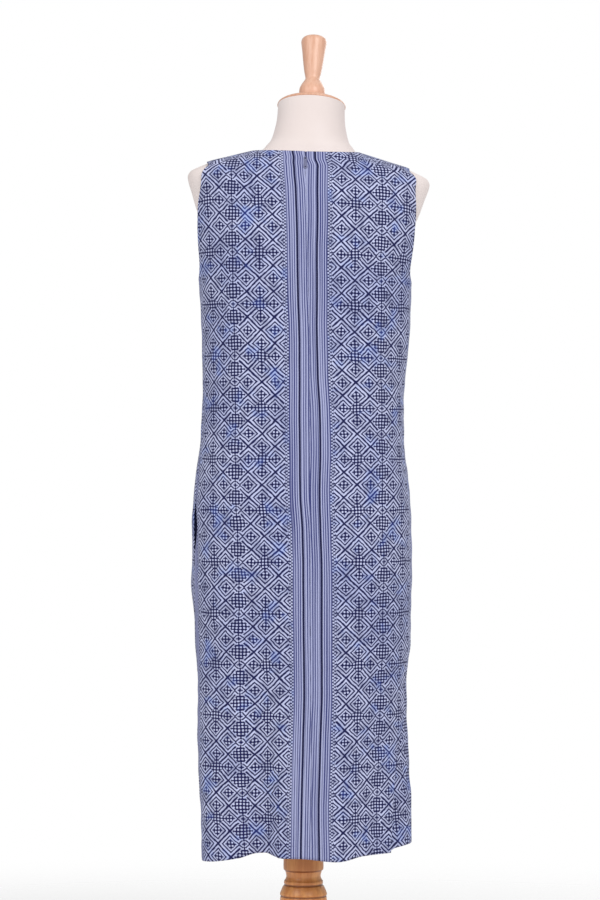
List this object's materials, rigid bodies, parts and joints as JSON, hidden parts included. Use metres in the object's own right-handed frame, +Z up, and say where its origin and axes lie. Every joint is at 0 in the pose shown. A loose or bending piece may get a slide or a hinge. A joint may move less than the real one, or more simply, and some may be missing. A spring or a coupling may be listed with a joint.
{
  "type": "sheath dress on dress form and stand",
  "caption": "Sleeveless printed sheath dress with side slits and a concealed back zip, on a limbless padded dress form with a turned wooden stand.",
  "frame": {"origin": "on the pole's axis at the underside of the base, on the floor", "axes": "+Z up, the back of the dress faces -Y, the wearer's right side is at +X"},
  "size_m": [0.408, 0.408, 1.599],
  "materials": {
    "dress_cloth": "matte printed cotton, indigo and white",
    "pocketing": "matte plain cotton",
    "zip_tape": "woven tape with a nylon coil",
    "zip_metal": "satin enamel",
    "form_cover": "smooth cream jersey over padding",
    "light_wood": "satin varnish",
    "stand_wood": "satin varnish",
    "pole_steel": "brushed"
  },
  "bodies": {
    "dress_and_form": {"back_left": "dress_cloth", "back_right": "dress_cloth", "front": "dress_cloth", "pocket_bag_left": "pocketing", "pocket_bag_right": "pocketing", "zip_tape_left": "zip_tape", "zip_tape_right": "zip_tape", "zip_coil": "zip_tape", "zip_slider": "zip_metal", "form_torso": "form_cover", "neck_cap": "light_wood", "finial": "light_wood", "stand_pole": "pole_steel", "stand_column": "stand_wood", "stand_base": "stand_wood"},
    "pull_tab": {"zip_pull": "zip_metal"}
  },
  "joints": [
    {"name": "pull_swing", "type": "hinge", "parent": "dress_and_form", "child": "pull_tab", "pos_m": [0.00279, -0.0753, 1.39534], "axis": [-1, 0, 0], "range_deg": [0, 150]}
  ]
}
